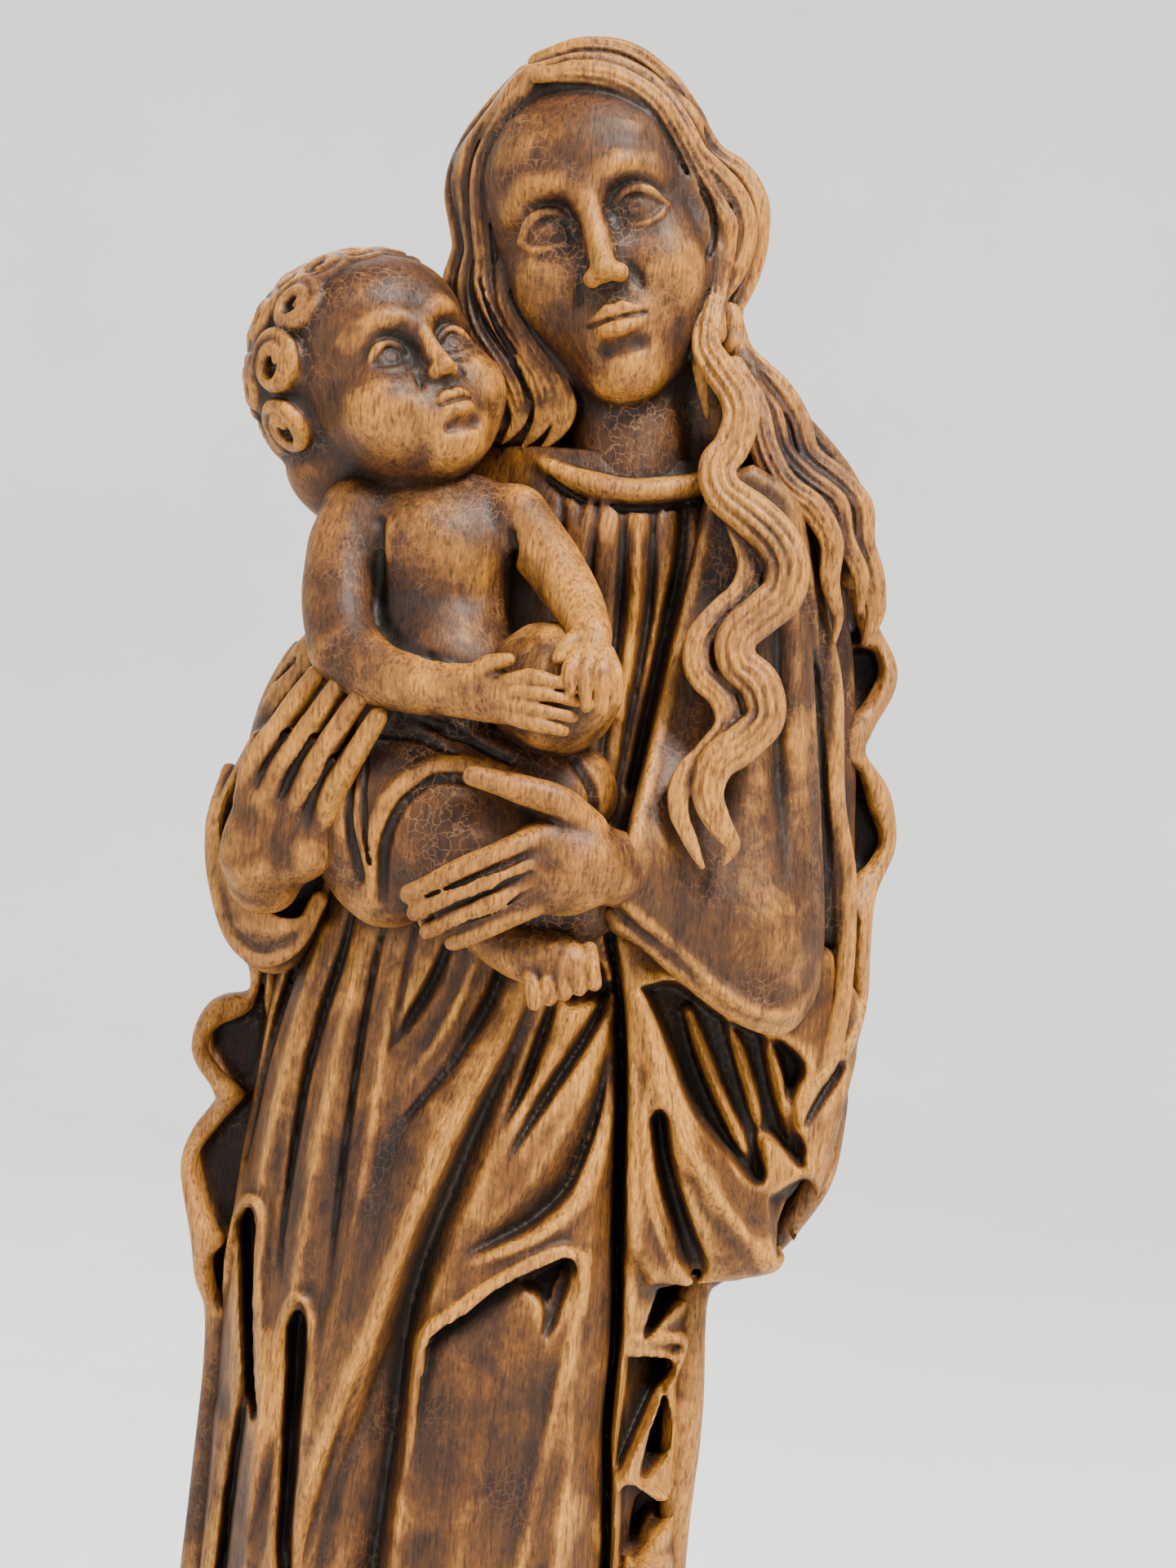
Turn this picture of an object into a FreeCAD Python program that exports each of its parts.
"""Standing mother and child, carved in limewood blocks that are glued and dowelled together on a plinth.

Millimetres. +Z is up, the figure looks along -Y, and the origin is the middle of the plinth's underside.
Left and right in names are the mother's own, so her left sleeve is on the +X side.
"""
import FreeCAD, Part
import math
import os
import Sketcher
from FreeCAD import Placement, Rotation, Vector

SIZES = {
    # plinth
    "plinth_width": 148.0,
    "plinth_depth": 88.0,
    "plinth_height": 22.0,
    "plinth_corner": 16.0,
    "plinth_edge": 3.0,
    # heights of the figure, all measured on the standing robe
    "robe_height": 390.0,
    "neck_height": 14.0,
    # back board: the layer that carries the mantle's outer edges
    "board_thickness": 28.0,
    "mantle_half_width": 73.0,
    "board_edge": 5.0,
    # robe block: half widths to the mother's right and left, and depth in front of the board
    "hem_right": 62.0,
    "hem_left": 50.0,
    "hem_deep": 40.0,
    "knee_right": 64.0,
    "knee_left": 44.0,
    "knee_deep": 38.0,
    "hip_right": 60.0,
    "hip_left": 54.0,
    "hip_deep": 40.0,
    "waist_right": 56.0,
    "waist_left": 44.0,
    "waist_deep": 38.0,
    "chest_right": 46.0,
    "chest_left": 40.0,
    "chest_deep": 34.0,
    "neck_right": 30.0,
    "neck_left": 34.0,
    "neck_deep": 26.0,
    # long folds cut in the front of the robe
    "fold_depth": 4.5,
    "fold_radius": 6.5,
    # mother's left sleeve and right sleeve
    "sleeve_inside": 12.0,
    "elbow_radius": 24.0,
    "wrist_radius": 11.0,
    "sleeve_length": 108.0,
    "cuff_width": 34.0,
    "cuff_height": 52.0,
    "cuff_deep": 40.0,
    # mother's head
    "head_height": 73.5,
    "head_width": 46.0,
    "jaw_radius": 13.0,
    "hair_thickness": 6.0,
    "head_tilt": 15.0,
    "neck_radius": 13.0,
    "tenon_radius": 9.0,
    "tenon_length": 16.0,
    "collar_width": 4.0,
    # mother's hands
    "palm_length": 28.0,
    "palm_width": 22.0,
    "palm_thickness": 11.0,
    "palm_round": 4.0,
    "finger_length": 24.0,
    "finger_radius": 2.6,
    # child
    "seat_deep": 34.0,
    "child_head_radius": 22.0,
    "curl_radius": 6.0,
    "child_torso_width": 40.0,
    "child_torso_height": 62.0,
    "child_arm_radius": 6.8,
    "child_wrist_radius": 4.6,
    "lap_width": 56.0,
    "lap_height": 36.0,
    "ball_radius": 13.0,
    "foot_length": 22.0,
    "foot_thickness": 12.0,
    # dowels and their glue gap
    "dowel_radius": 3.0,
    "dowel_length": 20.0,
    "small_dowel_radius": 2.0,
    "small_dowel_length": 12.0,
    "glue_gap": 0.1,
    "dowel_end_gap": 1.0,
    # plinth screws
    "screw_radius": 2.0,
    "screw_length": 45.0,
    "screw_head_radius": 4.0,
    "screw_head_height": 2.4,
    "screw_clearance": 0.25,
    "screw_spacing": 56.0,
    # hanger
    "plate_width": 18.0,
    "plate_height": 48.0,
    "plate_thickness": 1.5,
    "plate_corner": 3.0,
    "plate_clearance": 0.3,
    "keyhole_radius": 4.5,
    "keyslot_radius": 2.2,
    "keyslot_rise": 9.0,
    "key_recess_depth": 9.0,
    "hanger_drop": 34.0,
    "hanger_screw_radius": 1.4,
    "hanger_screw_length": 13.0,
    "hanger_screw_head_radius": 2.8,
    "hanger_screw_head_height": 1.2,
    "hanger_screw_inset": 6.0,
    "hanger_head_clearance": 0.3,
}

# Sizes that follow from the ones above
DERIVED = {
    "cuff_low_right": "=mantle_half_width - 16",
    "cuff_low_left": "=6 + cuff_width * 0.75 - mantle_half_width",
    "cuff_low_deep": "=cuff_deep * 0.5",
    "cuff_mid_right": "=mantle_half_width - 7",
    "cuff_mid_left": "=7 + cuff_width - mantle_half_width",
    "cuff_mid_deep": "=cuff_deep",
    "cuff_top_right": "=mantle_half_width - 9",
    "cuff_top_left": "=9 + cuff_width * 0.7 - mantle_half_width",
    "cuff_top_deep": "=cuff_deep * 0.6",
}

doc = FreeCAD.newDocument("mother_and_child")
sheet = doc.addObject("Spreadsheet::Sheet", "sizes")
for row, (alias, amount) in enumerate({**SIZES, **DERIVED}.items(), start=1):
    sheet.set(f"A{row}", alias)
    sheet.set(f"B{row}", str(amount))
    sheet.setAlias(f"B{row}", alias)
doc.recompute()
size = {alias: float(sheet.get(alias)) for alias in {**SIZES, **DERIVED}}

# Places that several pieces share
back_y = size["plinth_depth"] / 2
glue_y = back_y - size["board_thickness"]
seat_y = glue_y - size["seat_deep"]
foot_z = size["plinth_height"]
collar_z = foot_z + size["robe_height"]
neck_x = 9.0
GLUE_Y = "(sizes.plinth_depth / 2 - sizes.board_thickness)"
COLLAR_Z = "(sizes.plinth_height + sizes.robe_height)"


def bind(thing, **formulas):
    """Binds properties to the sheet. A plain number is set as it is."""
    for name, formula in formulas.items():
        if isinstance(formula, str):
            thing.setExpression(name, formula)
        else:
            setattr(thing, name, formula)
    return thing


def along(direction):
    """The rotation that turns +Z to a direction."""
    return Rotation(Vector(0, 0, 1), Vector(*direction))


def sphere(name, centre, radius):
    thing = doc.addObject("Part::Sphere", name)
    bind(thing, Radius=radius)
    thing.Placement = Placement(Vector(*centre), Rotation())
    return thing


def taper(name, start, end, start_radius, end_radius):
    """A round limb or finger from one point to another."""
    run = Vector(*end) - Vector(*start)
    thing = doc.addObject("Part::Cone", name)
    bind(thing, Radius1=start_radius, Radius2=end_radius)
    thing.Height = run.Length
    thing.Placement = Placement(Vector(*start), along(run))
    return thing


def limb(name, start, end, start_radius, end_radius):
    """A taper with a round end at each end."""
    return [
        taper(name, start, end, start_radius, end_radius),
        sphere(f"{name}_start", start, start_radius),
        sphere(f"{name}_end", end, end_radius),
    ]


def rod(name, start, direction, radius, length):
    thing = doc.addObject("Part::Cylinder", name)
    bind(thing, Radius=radius, Height=length)
    thing.Placement = Placement(Vector(*start), along(direction))
    return thing


def block(name, low, high):
    """A cutting block between two corners."""
    thing = doc.addObject("Part::Box", name)
    thing.Length, thing.Width, thing.Height = (b - a for a, b in zip(low, high))
    thing.Placement = Placement(Vector(*low), Rotation())
    return thing


def fuse(name, *things):
    joined = doc.addObject("Part::MultiFuse", name)
    joined.Shapes = list(things)
    return joined


def cut(name, base, *tools):
    """Takes each tool from the base in turn."""
    for count, tool in enumerate(tools, start=1):
        last = count == len(tools)
        left = doc.addObject("Part::Cut", name if last else f"{name}_less_{count}")
        left.Base, left.Tool = base, tool
        base = left
    return base


def dowel(name, joint, direction, small=False):
    """A dowel centred on a joint, and the bore that both pieces get for it."""
    kind = "small_dowel" if small else "dowel"
    run = Vector(*direction).normalize()
    length, gap = size[f"{kind}_length"], size["dowel_end_gap"]
    start = Vector(*joint) - run * (length / 2)
    pin = rod(name, start, run, f"sizes.{kind}_radius", f"sizes.{kind}_length")
    bore = rod(
        f"{name}_bore",
        start - run * gap,
        run,
        f"sizes.{kind}_radius + sizes.glue_gap",
        f"sizes.{kind}_length + 2 * sizes.dowel_end_gap",
    )
    return pin, bore


def body_sketch(body, name, plane, height=None):
    """A sketch on one of the body's own origin planes, raised by a formula."""
    sketch = body.newObject("Sketcher::SketchObject", name)
    origin_plane = next(p for p in body.Origin.OriginFeatures if p.Role == plane)
    sketch.AttachmentSupport = [(origin_plane, "")]
    sketch.MapMode = "FlatFace"
    if height is not None:
        sketch.setExpression("AttachmentOffset.Base.z", height)
    return sketch


def chain(sketch, edges, closed=True):
    """Adds edges end to end and ties their ends together."""
    for edge in edges:
        sketch.addGeometry(edge, False)
    count = len(edges)
    for first in range(count if closed else count - 1):
        sketch.addConstraint(Sketcher.Constraint("Coincident", first, 2, (first + 1) % count, 1))


def polygon(points):
    ends = points[1:] + points[:1]
    return [Part.LineSegment(Vector(*a), Vector(*b)) for a, b in zip(points, ends)]


def spline(points):
    curve = Part.BSplineCurve()
    curve.interpolate([Vector(*p) for p in points])
    return curve


def pad(body, sketch, length, name, reverse=False):
    feature = body.newObject("PartDesign::Pad", name)
    feature.Profile = sketch
    bind(feature, Length=length)
    feature.Reversed = reverse
    body.Tip = feature
    doc.recompute()
    return feature


def pocket(body, sketch, length, name, reverse=False):
    before = body.Shape.Volume
    feature = body.newObject("PartDesign::Pocket", name)
    feature.Profile = sketch
    bind(feature, Length=length)
    feature.Reversed = reverse
    body.Tip = feature
    doc.recompute()
    if not body.Shape.Volume < before - 1e-3:
        raise RuntimeError(f"{name} cut nothing from {body.Name}")
    return feature


def d_section(body, name, height, station):
    """A half-round section, flat on the board and bulging to the front, from the station's three sizes."""
    sketch = body_sketch(body, name, "XY_Plane", height)
    low, high = -size[f"{station}_right"], size[f"{station}_left"]
    out = size[f"{station}_deep"]
    middle = Vector((low + high) / 2, glue_y - out, 0)
    start, end = Vector(low, glue_y, 0), Vector(high, glue_y, 0)
    sketch.addGeometry(Part.LineSegment(start, end), False)
    sketch.addGeometry(Part.Arc(start, middle, end), False)
    limits = [
        Sketcher.Constraint("Coincident", 0, 1, 1, 1),
        Sketcher.Constraint("Coincident", 0, 2, 1, 2),
        Sketcher.Constraint("DistanceX", -1, 1, 0, 1, low),
        Sketcher.Constraint("DistanceY", -1, 1, 0, 1, glue_y),
        Sketcher.Constraint("DistanceX", -1, 1, 0, 2, high),
        Sketcher.Constraint("DistanceY", -1, 1, 0, 2, glue_y),
        Sketcher.Constraint("Radius", 1, ((high - low) ** 2 / 4 + out**2) / (2 * out)),
    ]
    sketch.addConstraint(limits)
    right, left, deep = (f"sizes.{station}_{part}" for part in ("right", "left", "deep"))
    sketch.setExpression("Constraints[2]", f"-{right}")
    sketch.setExpression("Constraints[3]", GLUE_Y)
    sketch.setExpression("Constraints[4]", left)
    sketch.setExpression("Constraints[5]", GLUE_Y)
    sketch.setExpression("Constraints[6]", f"(({left} + {right})^2 / 4 + {deep}^2) / (2 * {deep})")
    return sketch


def lofted(name, sections):
    """A body lofted through half-round sections: each is a height formula and a station's name."""
    body = doc.addObject("PartDesign::Body", name)
    sketches = [d_section(body, f"{name}_{station}", height, station) for height, station in sections]
    doc.recompute()
    loft = body.newObject("PartDesign::AdditiveLoft", f"{name}_loft")
    loft.Profile = sketches[0]
    loft.Sections = sketches[1:]
    loft.Ruled = True
    body.Tip = loft
    doc.recompute()
    return body


# ---------------------------------------------------------------- plinth
half_width, half_depth = size["plinth_width"] / 2, size["plinth_depth"] / 2
corner = size["plinth_corner"]
screw_xs = (-size["screw_spacing"] / 2 - 4, size["screw_spacing"] / 2 - 4)


def screw_discs(sketch, radius):
    for x in screw_xs:
        sketch.addGeometry(Part.Circle(Vector(x, 0, 0), Vector(0, 0, 1), size["screw_radius"]), False)
        index = sketch.GeometryCount - 1
        sketch.addConstraint(Sketcher.Constraint("Radius", index, size["screw_radius"]))
        sketch.setExpression(f"Constraints[{sketch.ConstraintCount - 1}]", radius)


def make_plinth():
    body = doc.addObject("PartDesign::Body", "plinth")
    outline = body_sketch(body, "plinth_outline", "XY_Plane")
    chain(
        outline,
        polygon(
            [
                (half_width, half_depth, 0),
                (-half_width, half_depth, 0),
                (-half_width, corner - half_depth, 0),
                (corner - half_width, -half_depth, 0),
                (half_width - corner, -half_depth, 0),
                (half_width, corner - half_depth, 0),
            ]
        ),
    )
    slab = pad(body, outline, "sizes.plinth_height", "plinth_pad")
    top = [
        f"Edge{i}"
        for i, e in enumerate(body.Shape.Edges, start=1)
        if abs(e.BoundBox.ZMin - foot_z) < 1e-6 and e.BoundBox.YMin < half_depth - 1e-6
    ]
    bevel = body.newObject("PartDesign::Chamfer", "plinth_bevel")
    bevel.Base = (slab, top)
    bind(bevel, Size="sizes.plinth_edge")
    body.Tip = bevel
    doc.recompute()
    shanks = body_sketch(body, "plinth_screw_ways", "XY_Plane")
    screw_discs(shanks, "sizes.screw_radius + sizes.screw_clearance")
    pocket(body, shanks, "sizes.plinth_height", "plinth_screw_bores", reverse=True)
    heads = body_sketch(body, "plinth_head_ways", "XY_Plane")
    screw_discs(heads, "sizes.screw_head_radius + sizes.screw_clearance")
    pocket(body, heads, "2 * sizes.screw_head_height", "plinth_head_bores", reverse=True)
    return body


plinth = make_plinth()

# ---------------------------------------------------------------- back board
# Each edge is a run of (inset from the mantle's half width, height above the plinth or below the collar)
RIGHT_EDGE_LOW = [(13, 0), (12, 60), (11, 120), (10, 170), (8, 205), (6, 222)]
RIGHT_EDGE_HIGH = [(0, 150), (7, 139), (1, 127), (8, 112), (5, 92), (4, 74), (9, 52), (17, 32), (26, 16)]
LEFT_EDGE_LOW = [(23, 0), (25, 60), (28, 120), (31, 170), (32, 200), (26, 232)]
LEFT_EDGE_HIGH = [(10, 140), (4, 112), (5, 96), (0, 72), (7, 54), (2, 34), (14, 20), (11, 5), (22, -10)]
BOARD_TOP = [(36, -20), (14, -24), (-8, -16), (-30, -2)]


def mantle_edge(side, low, high):
    """The wavy edge from the plinth to the shoulder, on side -1 for her right and 1 for her left."""
    reach = size["mantle_half_width"]
    rising = [(side * (reach - inset), foot_z + rise, 0) for inset, rise in low]
    falling = [(side * (reach - inset), collar_z - drop, 0) for inset, drop in high]
    return rising + falling


def make_back_board():
    body = doc.addObject("PartDesign::Body", "back_board_blank")
    outline = body_sketch(body, "mantle_outline", "XZ_Plane", "-sizes.plinth_depth / 2")
    left = mantle_edge(1, LEFT_EDGE_LOW, LEFT_EDGE_HIGH)
    right = mantle_edge(-1, RIGHT_EDGE_LOW, RIGHT_EDGE_HIGH)
    top = [(x, collar_z - drop, 0) for x, drop in BOARD_TOP]
    over_shoulders = [left[-1], *top, right[-1]]
    foot = Part.LineSegment(Vector(*right[0]), Vector(*left[0]))
    chain(outline, [foot, spline(left), spline(over_shoulders), spline(right[::-1])])
    board = pad(body, outline, "sizes.board_thickness", "mantle_pad")
    rim = [
        f"Edge{i}"
        for i, e in enumerate(body.Shape.Edges, start=1)
        if e.BoundBox.YMin > back_y - 1e-3 and e.BoundBox.ZMax > foot_z + 1
    ]
    bevel = body.newObject("PartDesign::Chamfer", "mantle_bevel")
    bevel.Base = (board, rim)
    bind(bevel, Size="sizes.board_edge")
    body.Tip = bevel
    return body


board_blank = make_back_board()


plate_z = collar_z - size["hanger_drop"]
plate_set_back = size["hanger_screw_head_height"] + size["hanger_head_clearance"]
plate_y = back_y - plate_set_back - size["plate_thickness"]


def make_plate_recess():
    """Room for the hanger plate, and a deeper slot behind its keyhole for the wall screw's head."""
    rim = size["plate_clearance"]
    w, h = size["plate_width"] / 2 + rim, size["plate_height"] / 2 + rim
    seat = block("hanger_seat", (-w, plate_y, plate_z - h), (w, back_y + 1, plate_z + h))
    key_half = size["keyhole_radius"] + 1.5
    key_low = plate_z - size["keyslot_rise"] / 2 - key_half
    key_high = plate_z + size["keyslot_rise"] / 2 + key_half
    slot = block(
        "hanger_key_slot",
        (-key_half, back_y - size["key_recess_depth"], key_low),
        (key_half, back_y + 1, key_high),
    )
    return [seat, slot]


# ---------------------------------------------------------------- dowels
board_pins, board_bores = [], []
for count, rise in enumerate((60, 150, 240), start=1):
    pin, bore = dowel(f"board_dowel_{count}", (-8, glue_y, foot_z + rise), (0, 1, 0))
    board_pins.append(pin)
    board_bores.append(bore)
sleeve_pins, sleeve_bores = [], []
for count, drop in enumerate((30, 76), start=1):
    start = (size["mantle_half_width"] - 35, glue_y, collar_z - drop)
    pin, bore = dowel(f"sleeve_dowel_{count}", start, (0, 1, 0))
    sleeve_pins.append(pin)
    sleeve_bores.append(bore)
cuff_dowel_at = (13 - size["mantle_half_width"], glue_y, collar_z - 88)
cuff_pin, cuff_bore = dowel("cuff_dowel_1", cuff_dowel_at, (0, 1, 0))
child_pins, child_bores = [], []
for count, (x, drop) in enumerate(((-28, 28), (-14, 70)), start=1):
    pin, bore = dowel(f"child_dowel_{count}", (x, seat_y, collar_z - drop), (0, 1, 0), small=True)
    child_pins.append(pin)
    child_bores.append(bore)

# ---------------------------------------------------------------- robe block and sleeves
# Stations up the robe, as shares of its height
ROBE_STATIONS = [("hem", 0), ("knee", 0.3), ("hip", 0.6), ("waist", 0.78), ("chest", 0.92), ("neck", 1)]
robe_raw = lofted(
    "robe_raw",
    [(f"sizes.plinth_height + {share} * sizes.robe_height", station) for station, share in ROBE_STATIONS],
)
outer = size["mantle_half_width"]
elbow_at = Vector(outer - 28, glue_y - 24, collar_z - size["sleeve_length"] + 22)
shoulder_at = Vector(outer - 37, glue_y - 14, collar_z - 8)
wrist_at = Vector(size["sleeve_inside"] + 8, seat_y - 9, elbow_at.z + 8)


def make_left_sleeve():
    """Her left arm under the mantle: upper arm, elbow and forearm."""
    upper = limb("upper_arm", shoulder_at, elbow_at, "0.55 * sizes.elbow_radius", "sizes.elbow_radius")
    forearm = taper("forearm", elbow_at, wrist_at, "0.7 * sizes.elbow_radius", "sizes.wrist_radius")
    return fuse("left_sleeve_raw", *upper, forearm)


sleeve_raw = make_left_sleeve()
CUFF_FOOT = f"{COLLAR_Z} - 108"
cuff_raw = lofted(
    "right_cuff_raw",
    [
        (CUFF_FOOT, "cuff_low"),
        (f"{CUFF_FOOT} + 0.35 * sizes.cuff_height", "cuff_mid"),
        (f"{CUFF_FOOT} + sizes.cuff_height", "cuff_top"),
    ],
)

# ---------------------------------------------------------------- mother's head
tilt = math.radians(size["head_tilt"])
crown = Vector(-math.sin(tilt), 0, math.cos(tilt))
neck_foot = Vector(neck_x, glue_y - 17, collar_z)
chin = neck_foot + Vector(0, -8, size["neck_height"])
skull_radius = size["head_width"] / 2 + 1
skull_rise = size["head_height"] - skull_radius - size["hair_thickness"] / 2
skull_at = chin + crown * skull_rise + Vector(0, 6, 0)
jaw_at = chin + crown * size["jaw_radius"] + Vector(0, 2, 0)
hair_at = skull_at + Vector(0, size["hair_thickness"], 0)


def make_head():
    skull = sphere("skull", skull_at, "sizes.head_width / 2 + 1")
    hair = sphere("hair_mass", hair_at, "sizes.head_width / 2 + sizes.hair_thickness")
    jaw = limb("jaw", skull_at, jaw_at, "sizes.head_width / 2", "sizes.jaw_radius")[::2]
    face_front = skull_at - Vector(0, skull_radius, 0)
    bridge = face_front + Vector(0, 3, 0) - crown * 6
    tip = face_front - Vector(0, 1, 0) - crown * 20
    nose = taper("nose", bridge, tip, "1.4", "3.4")
    neck = rod("neck", neck_foot, (0, 0, 1), "sizes.neck_radius", "sizes.neck_height + 14")
    tenon = rod(
        "neck_tenon",
        neck_foot - Vector(0, 0, size["tenon_length"]),
        (0, 0, 1),
        "sizes.tenon_radius",
        "sizes.tenon_length",
    )
    right_top = hair_at + Vector(-22, 0, -8)
    left_top = hair_at + Vector(22, 0, -2)
    locks = [
        *limb("right_lock", right_top, Vector(-12, glue_y - 16, collar_z + 10), "7", "8"),
        *limb("left_lock", left_top, Vector(31, glue_y - 18, collar_z + 4), "8", "7"),
    ]
    nape_at = Vector(neck_x, glue_y - 12, collar_z + 12)
    nape = limb("nape_hair", hair_at, nape_at, "0.5 * sizes.head_width", "16")
    return fuse("head_raw", skull, hair, *jaw, nose, neck, tenon, *locks, *nape[::2])


head_raw = make_head()
socket = rod(
    "neck_socket",
    neck_foot - Vector(0, 0, size["tenon_length"] + size["dowel_end_gap"]),
    (0, 0, 1),
    "sizes.tenon_radius + sizes.glue_gap",
    "sizes.tenon_length + sizes.dowel_end_gap",
)
collar = doc.addObject("Part::Torus", "collar_band")
bind(collar, Radius1="sizes.neck_radius + sizes.collar_width / 2", Radius2="sizes.collar_width / 2")
collar.Placement = Placement(neck_foot + Vector(0, -2, -1.2), Rotation(Vector(1, 0, 0), 12))

# ---------------------------------------------------------------- child
child_head_at = Vector(-41, seat_y + 4, collar_z + 16)
torso_at = Vector(-25, seat_y - 1, collar_z - 27)


def make_child_head():
    curls = []
    for index, turn in enumerate((65, 100, 135, 165, 195, 225)):
        angle = math.radians(turn)
        reach = size["child_head_radius"] - 2
        spot = child_head_at + Vector(math.cos(angle) * reach, -6, math.sin(angle) * reach)
        curls.append(sphere(f"curl_{index}", spot, "sizes.curl_radius"))
    nose = sphere("child_nose", child_head_at + Vector(9, 1 - size["child_head_radius"], 0), "2.6")
    skull = sphere("child_skull", child_head_at, "sizes.child_head_radius")
    return fuse("child_head_raw", skull, nose, *curls)


def make_child_body():
    half_torso = size["child_torso_height"] / 2 - size["child_torso_width"] / 2
    torso = limb(
        "child_torso",
        torso_at - Vector(0, 0, half_torso),
        torso_at + Vector(0, 0, half_torso),
        "sizes.child_torso_width / 2",
        "sizes.child_torso_width / 2 - 1",
    )
    half_lap = size["lap_width"] / 2 - size["lap_height"] / 2
    lap_at = Vector(-13, seat_y - 1, collar_z - 74)
    lap = limb(
        "child_lap",
        lap_at - Vector(half_lap, 0, -3),
        lap_at + Vector(half_lap, 0, -3),
        "sizes.lap_height / 2",
        "sizes.lap_height / 2 - 1",
    )
    front = seat_y - 12
    right_shoulder, right_elbow = (-43, seat_y - 3, collar_z - 13), (-43, front + 2, collar_z - 40)
    right_wrist, left_shoulder = (-15, front - 6, collar_z - 44), (-9, seat_y - 2, collar_z - 10)
    left_wrist = (6, front - 6, collar_z - 34)
    arm, wrist = "sizes.child_arm_radius", "sizes.child_wrist_radius"
    arms = [
        *limb("child_upper_arm", right_shoulder, right_elbow, f"{arm} + 1", arm),
        *limb("child_forearm", right_elbow, right_wrist, f"{arm} - 0.2", wrist)[::2],
        *limb("child_left_arm", left_shoulder, left_wrist, arm, wrist),
        sphere("child_right_palm", (-10, front - 8, collar_z - 45), "5.4"),
        sphere("child_left_palm", (7, front - 8, collar_z - 38), "5.4"),
    ]
    return fuse("child_body_raw", *torso, *lap, *arms)


ball_at = Vector(-1, seat_y + 1 - size["ball_radius"], collar_z - 43)
ball_raw = sphere("ball_raw", ball_at, "sizes.ball_radius")
child_head_raw = make_child_head()
child_body_raw = make_child_body()

# ---------------------------------------------------------------- mother's hands and the child's foot


def hand(name, wrist, knuckles, fan, thumb_tip):
    """A hand from the wrist to the knuckles, with four fingers side by side and a thumb."""
    wrist, knuckles = Vector(*wrist), Vector(*knuckles)
    run = (knuckles - wrist).normalize()
    side = run.cross(Vector(0, 1, 0)).normalize()
    slab = doc.addObject("Part::Box", f"{name}_slab")
    bind(slab, Length="sizes.palm_width", Width="sizes.palm_thickness", Height="sizes.palm_length")
    extent = Vector(size["palm_width"], size["palm_thickness"], size["palm_length"])
    turn = Rotation(side, Vector(0, 0, 0), run, "ZXY")
    slab.Placement = Placement((wrist + knuckles) / 2, turn) * Placement(extent * -0.5, Rotation())
    palm = doc.addObject("Part::Fillet", f"{name}_palm")
    palm.Base = slab
    palm.Edges = [(i, size["palm_round"], size["palm_round"]) for i in range(1, 13)]
    pitch = size["finger_radius"] * 1.9
    fingers = []
    for index in range(4):
        shift = side * (pitch * (index - 1.5))
        base = knuckles - run * 6 + shift
        tip = base + (run + side * fan * (index - 1.5)) * size["finger_length"]
        fingers.append(
            taper(f"{name}_finger_{index}", base, tip, "sizes.finger_radius", "0.75 * sizes.finger_radius")
        )
    thumb_radius = "sizes.finger_radius + 0.6"
    thumb_base = (wrist + knuckles) / 2
    thumb = taper(f"{name}_thumb", thumb_base, Vector(*thumb_tip), thumb_radius, "sizes.finger_radius")
    return fuse(f"{name}_raw", palm, *fingers, thumb)


hand_y = seat_y - 6
right_hand_raw = hand(
    "right_hand",
    (-53, hand_y + 4, collar_z - 86),
    (-43, hand_y - 6, collar_z - 62),
    0.03,
    (-37, hand_y - 13, collar_z - 68),
)
left_hand_raw = hand(
    "left_hand",
    wrist_at - Vector(1, 2, 0),
    (-2, hand_y - 12, collar_z - 81),
    0.03,
    (-11, hand_y - 12, collar_z - 64),
)


def make_foot():
    half = size["foot_length"] / 2 - size["foot_thickness"] / 2
    sole = limb(
        "child_instep",
        Vector(-half, seat_y - 6, collar_z - 97),
        Vector(half, seat_y - 6, collar_z - 102),
        "sizes.foot_thickness / 2 - 0.5",
        "sizes.foot_thickness / 2",
    )
    toes = [
        taper(
            f"toe_{index}",
            (3 + 2.0 * index, seat_y - 6, collar_z - 102 + 1.2 * index),
            (6 + 2.2 * index, seat_y - 8, collar_z - 107 + 2.0 * index),
            "1.7",
            "1.3",
        )
        for index in range(5)
    ]
    return fuse("child_foot_raw", *sole, *toes)


foot_raw = make_foot()


# ---------------------------------------------------------------- more dowels
right_wrist_pin, right_wrist_bore = dowel(
    "right_wrist_dowel", (-50, hand_y + 7, collar_z - 78), (0, 1, 0), small=True
)
left_wrist_pin, left_wrist_bore = dowel(
    "left_wrist_dowel", wrist_at - Vector(1, 2, 0), (-1, -0.45, 0), small=True
)
child_neck_pin, child_neck_bore = dowel(
    "child_neck_dowel", (-32, seat_y - 1, collar_z - 2), (-9, 5, 18), small=True
)
ball_pin, ball_bore = dowel("ball_dowel", (ball_at.x, seat_y, ball_at.z), (0, 1, 0), small=True)
foot_pin, foot_bore = dowel("foot_dowel", (0, seat_y, collar_z - 100), (0, 1, 0), small=True)

# ---------------------------------------------------------------- fitted pieces
behind_seat = block("behind_seat", (-200, seat_y, 0), (200, 200, 700))
behind_glue = block("behind_glue", (-200, glue_y, 0), (200, 200, 700))
seat_cut = block(
    "child_seat_cut",
    (-outer - 20, seat_y - 60, collar_z - 110),
    (size["sleeve_inside"] + 9, seat_y, collar_z - 4),
)
pilot_radius, pilot_length = "sizes.screw_radius + 0.05", "sizes.screw_length - 15"
pilots = [
    rod(f"screw_pilot_{i}", (x, 0, foot_z - 1), (0, 0, 1), pilot_radius, pilot_length)
    for i, x in enumerate(screw_xs, start=1)
]


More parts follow.
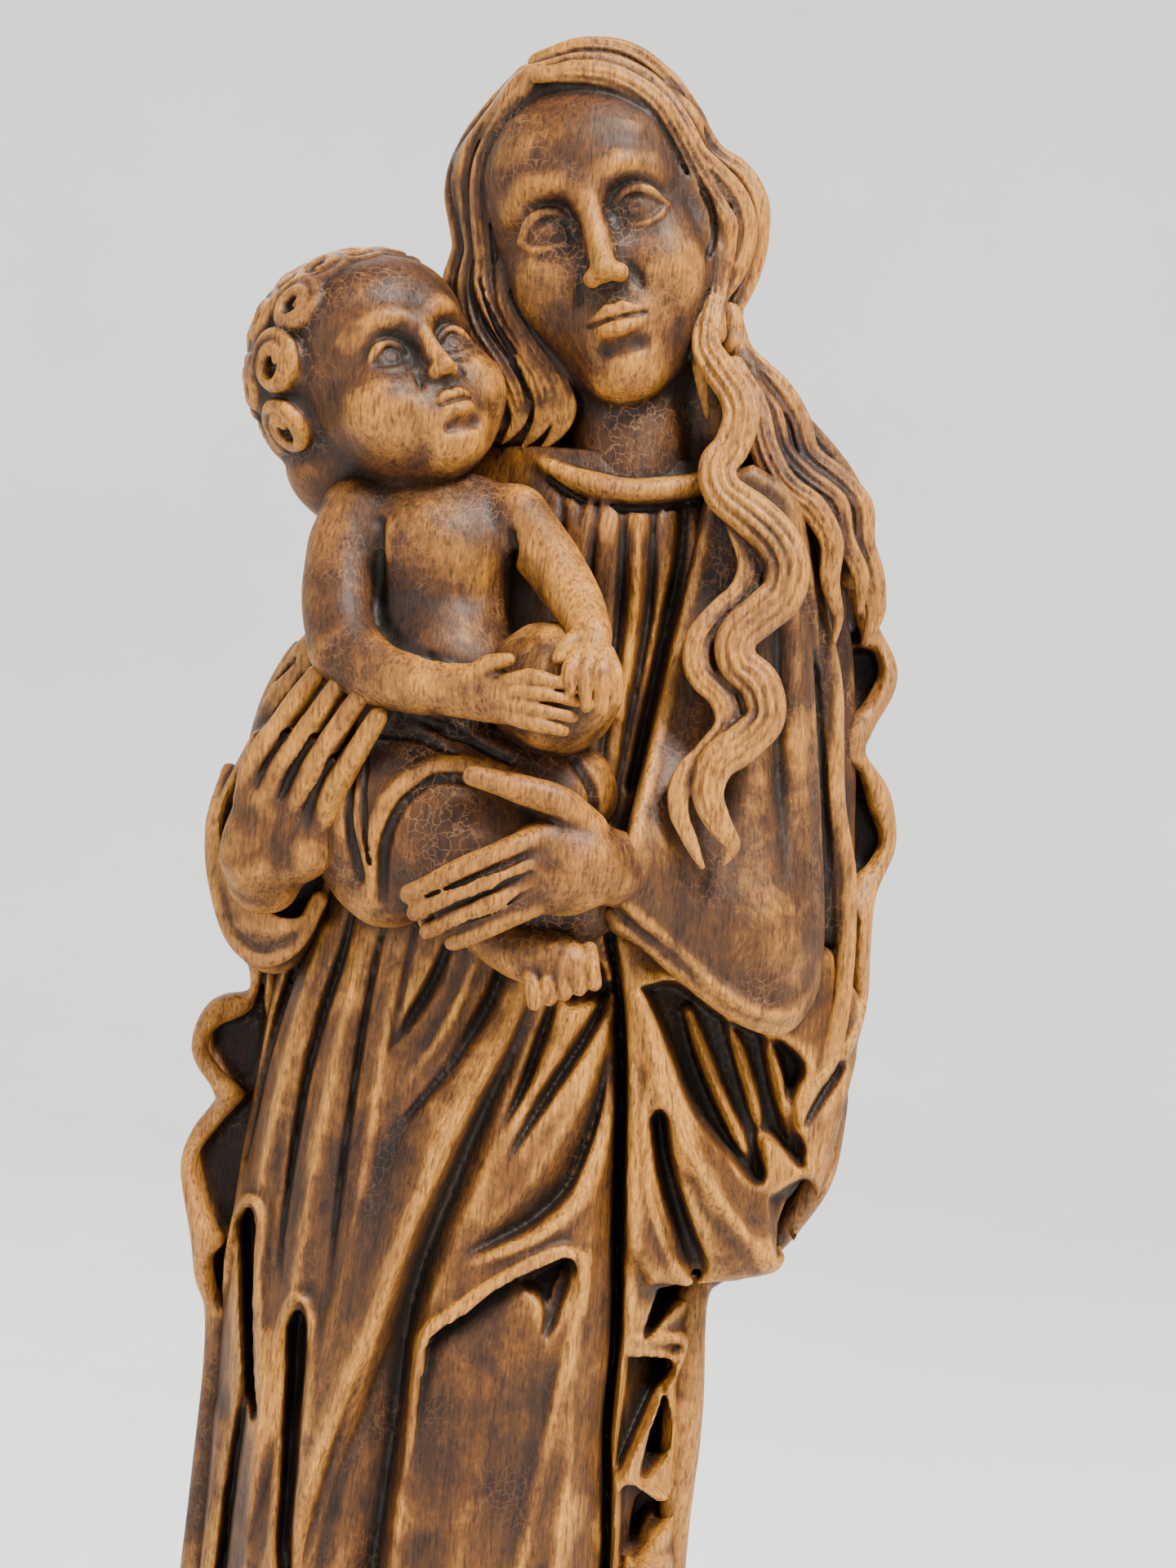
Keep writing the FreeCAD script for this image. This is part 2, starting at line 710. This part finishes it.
def robe_front(x, z):
    """The robe block's front surface at a place seen from the front."""
    share = (z - foot_z) / size["robe_height"]
    pair = next(p for p in zip(ROBE_STATIONS, ROBE_STATIONS[1:]) if share <= p[1][1])
    (low_name, low_at), (high_name, high_at) = pair
    mix = (share - low_at) / (high_at - low_at)
    right, left, deep = (
        size[f"{low_name}_{part}"] * (1 - mix) + size[f"{high_name}_{part}"] * mix
        for part in ("right", "left", "deep")
    )
    radius = ((right + left) ** 2 / 4 + deep**2) / (2 * deep)
    return glue_y - deep + radius - math.sqrt(radius**2 - (x - (left - right) / 2) ** 2)


# Long flutes between the robe's folds: x and share of the robe's height at the top and at the bottom
FLUTES = [
    (4, 0.70, -20, 0.42),
    (-20, 0.42, -33, 0.12),
    (14, 0.68, 8, 0.30),
    (8, 0.30, 2, 0.05),
    (25, 0.66, 27, 0.08),
    (-33, 0.66, -44, 0.38),
    (-44, 0.38, -48, 0.06),
    (-14, 0.69, -27, 0.54),
    (36, 0.62, 38, 0.10),
    (-9, 0.32, -15, 0.04),
    (-48, 0.62, -55, 0.30),
    (17, 0.34, 15, 0.04),
    (-27, 0.40, -39, 0.08),
    (46, 0.64, 46, 0.42),
]
FLUTE_START = 0.55
folds = []
for index, (top_x, top_share, low_x, low_share) in enumerate(FLUTES):
    ends = []
    for x, share, part in ((top_x, top_share, FLUTE_START), (low_x, low_share, 1)):
        z = foot_z + share * size["robe_height"]
        ends.append((x, robe_front(x, z) - part * (size["fold_radius"] - size["fold_depth"]), z))
    start_radius = f"{FLUTE_START} * sizes.fold_radius"
    folds.append(taper(f"flute_{index}", *ends, start_radius, "sizes.fold_radius"))
sleeve = cut("left_sleeve", sleeve_raw, behind_glue, head_raw, *sleeve_bores, left_wrist_bore)
cuff = cut("right_cuff", cuff_raw, right_hand_raw, cuff_bore, right_wrist_bore)
robe_block = cut(
    "robe_block",
    fuse("robe_with_collar", robe_raw, collar),
    sleeve_raw,
    cuff_raw,
    seat_cut,
    head_raw,
    socket,
    child_head_raw,
    *folds,
    *board_bores,
    *sleeve_bores,
    *child_bores,
    ball_bore,
    foot_bore,
    *pilots,
)
board = cut(
    "back_board",
    board_blank,
    *make_plate_recess(),
    *board_bores,
    *sleeve_bores,
    cuff_bore,
    head_raw,
    child_head_raw,
)
head = cut("head_block", head_raw, child_head_raw)
child_head = cut("child_head", child_head_raw, child_neck_bore)
child_body = cut(
    "child_body",
    child_body_raw,
    behind_seat,
    sleeve_raw,
    cuff_raw,
    child_head_raw,
    ball_raw,
    *child_bores,
    child_neck_bore,
)
ball = cut("ball", ball_raw, behind_seat, sleeve_raw, ball_bore)
right_hand = cut("right_hand", right_hand_raw, behind_seat, child_body_raw, right_wrist_bore)
left_hand = cut("left_hand", left_hand_raw, sleeve_raw, child_body_raw, ball_raw, left_wrist_bore)
foot = cut("child_foot", foot_raw, behind_seat, child_body_raw, left_hand_raw, foot_bore)

# ---------------------------------------------------------------- screws and hanger


def make_plinth_screws():
    """Pan-head wood screws, driven up through the plinth into the robe block."""
    solids = []
    up = (0, 0, 1)
    head_z = size["screw_head_height"]
    bearing = 2 * head_z
    for index, x in enumerate(screw_xs, start=1):
        head_name, shank_name = f"screw_head_{index}", f"screw_shank_{index}"
        head = rod(head_name, (x, 0, head_z), up, "sizes.screw_head_radius", "sizes.screw_head_height")
        shank = rod(shank_name, (x, 0, bearing), up, "sizes.screw_radius", "sizes.screw_length - 6")
        point = taper(
            f"screw_point_{index}",
            (x, 0, bearing + size["screw_length"] - 6),
            (x, 0, bearing + size["screw_length"]),
            "sizes.screw_radius",
            "0.15 * sizes.screw_radius",
        )
        drive = block(f"screw_slot_{index}", (x - 3.2, -0.5, head_z - 1), (x + 3.2, 0.5, head_z + 1.1))
        blank = fuse(f"screw_blank_{index}", head, shank, point)
        solids.append(cut(f"plinth_screw_{index}", blank, drive))
    return solids


plate_half = size["plate_height"] / 2
hanger_screw_zs = [plate_z + side * (plate_half - size["hanger_screw_inset"]) for side in (-1, 1)]


def make_hanger_plate():
    """A steel plate with a keyhole and two screw holes, set flush in the back."""
    body = doc.addObject("PartDesign::Body", "hanger_plate")
    w, h, round_by = size["plate_width"] / 2, size["plate_height"] / 2, size["plate_corner"]
    height = "-(sizes.plinth_depth / 2 - sizes.hanger_screw_head_height - sizes.hanger_head_clearance)"
    outline = body_sketch(body, "plate_outline", "XZ_Plane", height)
    low, high = plate_z - h, plate_z + h
    chain(outline, polygon([(-w, low, 0), (w, low, 0), (w, high, 0), (-w, high, 0)]))
    slab = pad(body, outline, "sizes.plate_thickness", "plate_pad")
    corners = [
        f"Edge{i}"
        for i, e in enumerate(body.Shape.Edges, start=1)
        if abs(e.Length - size["plate_thickness"]) < 1e-6 and e.BoundBox.YLength > 1e-3
    ]
    rounding = body.newObject("PartDesign::Fillet", "plate_corners")
    rounding.Base = (slab, corners)
    bind(rounding, Radius="sizes.plate_corner")
    body.Tip = rounding
    doc.recompute()
    key_z = plate_z - size["keyslot_rise"] / 2
    holes = body_sketch(body, "plate_holes", "XZ_Plane", height)
    for z, radius in [
        (key_z, "sizes.keyhole_radius"),
        (hanger_screw_zs[0], "sizes.hanger_screw_radius + 0.15"),
        (hanger_screw_zs[1], "sizes.hanger_screw_radius + 0.15"),
    ]:
        holes.addGeometry(Part.Circle(Vector(0, z, 0), Vector(0, 0, 1), 1), False)
        holes.addConstraint(Sketcher.Constraint("Radius", holes.GeometryCount - 1, 1))
        holes.setExpression(f"Constraints[{holes.ConstraintCount - 1}]", radius)
    pocket(body, holes, "2 * sizes.plate_thickness", "plate_round_holes", reverse=True)
    slot = body_sketch(body, "plate_slot", "XZ_Plane", height)
    r, top_z = size["keyslot_radius"], key_z + size["keyslot_rise"]
    left_side = Part.LineSegment(Vector(-r, top_z, 0), Vector(-r, key_z, 0))
    foot = Part.LineSegment(Vector(-r, key_z, 0), Vector(r, key_z, 0))
    right_side = Part.LineSegment(Vector(r, key_z, 0), Vector(r, top_z, 0))
    cap = Part.Arc(Vector(r, top_z, 0), Vector(0, top_z + r, 0), Vector(-r, top_z, 0))
    chain(slot, [left_side, foot, right_side, cap])
    pocket(body, slot, "2 * sizes.plate_thickness", "plate_keyslot", reverse=True)
    return body


def make_hanger_screws():
    """Pan-head screws that hold the plate, with their heads below the back face."""
    solids, bores = [], []
    inward, outward = (0, -1, 0), (0, 1, 0)
    for index, z in enumerate(hanger_screw_zs, start=1):
        face = (0, plate_y + size["plate_thickness"], z)
        head = rod(
            f"hanger_head_{index}",
            face,
            outward,
            "sizes.hanger_screw_head_radius",
            "sizes.hanger_screw_head_height",
        )
        shank = rod(
            f"hanger_shank_{index}",
            face,
            inward,
            "sizes.hanger_screw_radius",
            "sizes.hanger_screw_length",
        )
        bore = rod(
            f"hanger_pilot_{index}",
            (0, back_y + 1, z),
            inward,
            "sizes.hanger_screw_radius + 0.05",
            "sizes.hanger_screw_length + 5",
        )
        bores.append(bore)
        solids.append(fuse(f"hanger_screw_{index}", head, shank))
    return solids, bores


plinth_screws = make_plinth_screws()
hanger_plate = make_hanger_plate()
hanger_screws, hanger_pilots = make_hanger_screws()
back_board = cut("back_board_drilled", board, *hanger_pilots)
doc.recompute()

# ---------------------------------------------------------------- the pieces, each a node of its own
PIECES = {
    "plinth": [plinth],
    "back_board": [back_board],
    "robe_block": [robe_block],
    "left_sleeve": [sleeve],
    "right_cuff": [cuff],
    "head_block": [head],
    "child_head": [child_head],
    "child_body": [child_body],
    "ball": [ball],
    "right_hand": [right_hand],
    "left_hand": [left_hand],
    "child_foot": [foot],
    "board_dowels": board_pins,
    "sleeve_dowels": sleeve_pins,
    "cuff_dowel": [cuff_pin],
    "child_dowels": child_pins,
    "child_neck_dowel": [child_neck_pin],
    "right_wrist_dowel": [right_wrist_pin],
    "left_wrist_dowel": [left_wrist_pin],
    "ball_dowel": [ball_pin],
    "foot_dowel": [foot_pin],
    "plinth_screws": plinth_screws,
    "hanger_plate": [hanger_plate],
    "hanger_screws": hanger_screws,
}
faulty = [o.Name for o in doc.Objects if "Invalid" in o.State or "Error" in o.State]
if faulty:
    raise RuntimeError(f"these objects failed: {faulty}")
os.makedirs("parts", exist_ok=True)
for name, members in PIECES.items():
    solids = [solid for member in members for solid in member.Shape.Solids]
    if len(solids) != len(members):
        raise RuntimeError(f"{name} should have {len(members)} solids, not {len(solids)}")
    shape = solids[0] if len(solids) == 1 else Part.makeCompound(solids)
    if shape.isNull() or not shape.isValid():
        raise RuntimeError(f"{name} isn't a valid solid")
    members[0].Label = name
    shape.exportStep(f"parts/{name}.step")
    print(f"{name}: {len(solids)} solid(s), {shape.Volume / 1000:.1f} cm3")
